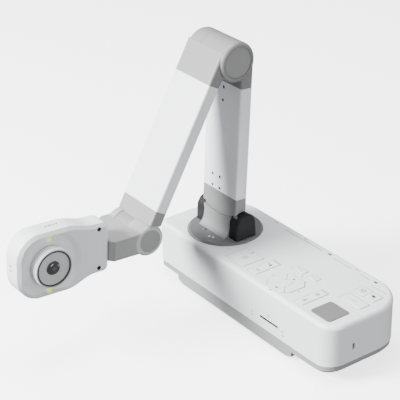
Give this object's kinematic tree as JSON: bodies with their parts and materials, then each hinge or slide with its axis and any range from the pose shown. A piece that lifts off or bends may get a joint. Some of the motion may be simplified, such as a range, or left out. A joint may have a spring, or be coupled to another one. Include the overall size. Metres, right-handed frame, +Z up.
{
  "type": "document camera",
  "caption": "Desktop document camera: long flat base with a key panel, pan turntable, folding two-part arm, wrist block and a rolling camera head with a ribbed lens ring.",
  "frame": {"origin": "table plane under the middle of the base casing", "axes": "+X along the base towards the end with the lock slot, -Y towards the document the head looks over, +Z up"},
  "size_m": [0.3176, 0.3587, 0.3192],
  "materials": {
    "white_shell": "fine satin",
    "white_key": "fine satin",
    "grey_plastic": "fine satin",
    "cap_grey": "fine satin",
    "base_grey": "fine texture",
    "capture_grey": "satin",
    "turntable_grey": "satin",
    "black_plastic": "semi-gloss",
    "pale_blue_lamp": "translucent look",
    "led_yellow": "translucent look",
    "lens_glass": "polished",
    "rubber": "matt",
    "steel": "plated",
    "screw_black": "black oxide",
    "circuit_green": "solder mask",
    "switch_black": "matt"
  },
  "bodies": {
    "base": {"top_cover": "white_shell", "bottom_cover": "base_grey", "rubber_feet": "rubber", "case_screws": "screw_black", "ballast_plate": "steel", "main_board": "circuit_green", "card_reader": "steel", "lock_plate": "steel", "pan_washer": "steel", "port_panel": "black_plastic", "port_sockets": "steel", "key_board": "circuit_green", "key_switches": "switch_black"},
    "turntable": {"turntable_disc": "turntable_grey", "pan_retainer": "black_plastic", "tilt_cradle": "grey_plastic", "tilt_caps": "black_plastic", "tilt_pin": "steel"},
    "lower_arm": {"lower_arm_foot": "grey_plastic", "lower_arm_tube": "white_shell", "lower_arm_screws": "screw_black", "elbow_lower_housing": "grey_plastic", "elbow_near_cap": "cap_grey"},
    "upper_arm": {"elbow_upper_housing": "grey_plastic", "elbow_far_cap": "cap_grey", "elbow_pin": "steel", "elbow_friction_washers": "steel", "upper_arm_tube": "white_shell", "wrist_collar": "grey_plastic"},
    "wrist": {"wrist_block": "grey_plastic", "wrist_caps": "cap_grey", "wrist_pin": "steel", "roll_bush": "black_plastic"},
    "head": {"head_back_cover": "white_shell", "head_front_cover": "white_shell", "head_screws": "screw_black", "led_lamps": "led_yellow", "roll_shaft": "steel", "lens_barrel": "white_shell", "lens_trim_ring": "black_plastic", "lens_glass": "lens_glass", "sensor_board": "circuit_green"},
    "focus_ring_body": {"focus_ring": "white_shell"},
    "power_key_body": {"power_key": "white_key", "power_lamp": "pale_blue_lamp"},
    "zoom_in_key_body": {"zoom_in_key": "white_key"},
    "zoom_out_key_body": {"zoom_out_key": "white_key"},
    "menu_key_body": {"menu_key": "white_key"},
    "source_key_body": {"source_key": "white_key"},
    "bright_up_key_body": {"bright_up_key": "white_key"},
    "bright_down_key_body": {"bright_down_key": "white_key"},
    "capture_key_body": {"capture_key": "capture_grey"},
    "freeze_key_body": {"freeze_key": "white_key"},
    "split_key_body": {"split_key": "white_key"},
    "rotate_key_body": {"rotate_key": "white_key"},
    "nav_far_key_body": {"nav_far_key": "white_key"},
    "nav_left_key_body": {"nav_left_key": "white_key"},
    "nav_near_key_body": {"nav_near_key": "white_key"},
    "nav_right_key_body": {"nav_right_key": "white_key"},
    "enter_key_body": {"enter_key": "white_key"}
  },
  "joints": [
    {"name": "pan", "type": "hinge", "parent": "base", "child": "turntable", "pos_m": [-0.0915, -0.0067, 0.0717], "axis": [0, 0, 1], "range_deg": [-90, 90]},
    {"name": "lower_tilt", "type": "hinge", "parent": "turntable", "child": "lower_arm", "pos_m": [-0.0915, -0.0055, 0.0905], "axis": [-1, 0, 0], "range_deg": [-2, 81]},
    {"name": "elbow", "type": "hinge", "parent": "lower_arm", "child": "upper_arm", "pos_m": [-0.0915, -0.0139, 0.29578], "axis": [1, 0, 0], "range_deg": [-141, 16]},
    {"name": "wrist", "type": "hinge", "parent": "upper_arm", "child": "wrist", "pos_m": [-0.0915, -0.13576, 0.11081], "axis": [-1, 0, 0], "range_deg": [-100, 40]},
    {"name": "head_roll", "type": "hinge", "parent": "wrist", "child": "head", "pos_m": [-0.084, -0.18766, 0.11389], "axis": [0, 0.9982, -0.0593], "range_deg": [0, 180]},
    {"name": "focus", "type": "hinge", "parent": "head", "child": "focus_ring_body", "pos_m": [-0.0575, -0.26193, 0.12171], "axis": [1, 0, 0], "range_deg": [-45, 45]},
    {"name": "power_key_press", "type": "slide", "parent": "base", "child": "power_key_body", "axis": [0, 0, -1], "range_m": [0, 0.0009], "stiffness_N_per_m": 400, "springref_m": -0.0006},
    {"name": "zoom_in_key_press", "type": "slide", "parent": "base", "child": "zoom_in_key_body", "axis": [0, 0, -1], "range_m": [0, 0.0009], "stiffness_N_per_m": 400, "springref_m": -0.0006},
    {"name": "zoom_out_key_press", "type": "slide", "parent": "base", "child": "zoom_out_key_body", "axis": [0, 0, -1], "range_m": [0, 0.0009], "stiffness_N_per_m": 400, "springref_m": -0.0006},
    {"name": "menu_key_press", "type": "slide", "parent": "base", "child": "menu_key_body", "axis": [0, 0, -1], "range_m": [0, 0.0009], "stiffness_N_per_m": 400, "springref_m": -0.0006},
    {"name": "source_key_press", "type": "slide", "parent": "base", "child": "source_key_body", "axis": [0, 0, -1], "range_m": [0, 0.0009], "stiffness_N_per_m": 400, "springref_m": -0.0006},
    {"name": "bright_up_key_press", "type": "slide", "parent": "base", "child": "bright_up_key_body", "axis": [0, 0, -1], "range_m": [0, 0.0009], "stiffness_N_per_m": 400, "springref_m": -0.0006},
    {"name": "bright_down_key_press", "type": "slide", "parent": "base", "child": "bright_down_key_body", "axis": [0, 0, -1], "range_m": [0, 0.0009], "stiffness_N_per_m": 400, "springref_m": -0.0006},
    {"name": "capture_key_press", "type": "slide", "parent": "base", "child": "capture_key_body", "axis": [0, 0, -1], "range_m": [0, 0.0009], "stiffness_N_per_m": 400, "springref_m": -0.0006},
    {"name": "freeze_key_press", "type": "slide", "parent": "base", "child": "freeze_key_body", "axis": [0, 0, -1], "range_m": [0, 0.0009], "stiffness_N_per_m": 400, "springref_m": -0.0006},
    {"name": "split_key_press", "type": "slide", "parent": "base", "child": "split_key_body", "axis": [0, 0, -1], "range_m": [0, 0.0009], "stiffness_N_per_m": 400, "springref_m": -0.0006},
    {"name": "rotate_key_press", "type": "slide", "parent": "base", "child": "rotate_key_body", "axis": [0, 0, -1], "range_m": [0, 0.0009], "stiffness_N_per_m": 400, "springref_m": -0.0006},
    {"name": "nav_far_key_press", "type": "slide", "parent": "base", "child": "nav_far_key_body", "axis": [0, 0, -1], "range_m": [0, 0.0009], "stiffness_N_per_m": 400, "springref_m": -0.0006},
    {"name": "nav_left_key_press", "type": "slide", "parent": "base", "child": "nav_left_key_body", "axis": [0, 0, -1], "range_m": [0, 0.0009], "stiffness_N_per_m": 400, "springref_m": -0.0006},
    {"name": "nav_near_key_press", "type": "slide", "parent": "base", "child": "nav_near_key_body", "axis": [0, 0, -1], "range_m": [0, 0.0009], "stiffness_N_per_m": 400, "springref_m": -0.0006},
    {"name": "nav_right_key_press", "type": "slide", "parent": "base", "child": "nav_right_key_body", "axis": [0, 0, -1], "range_m": [0, 0.0009], "stiffness_N_per_m": 400, "springref_m": -0.0006},
    {"name": "enter_key_press", "type": "slide", "parent": "base", "child": "enter_key_body", "axis": [0, 0, -1], "range_m": [0, 0.0009], "stiffness_N_per_m": 400, "springref_m": -0.0006}
  ]
}
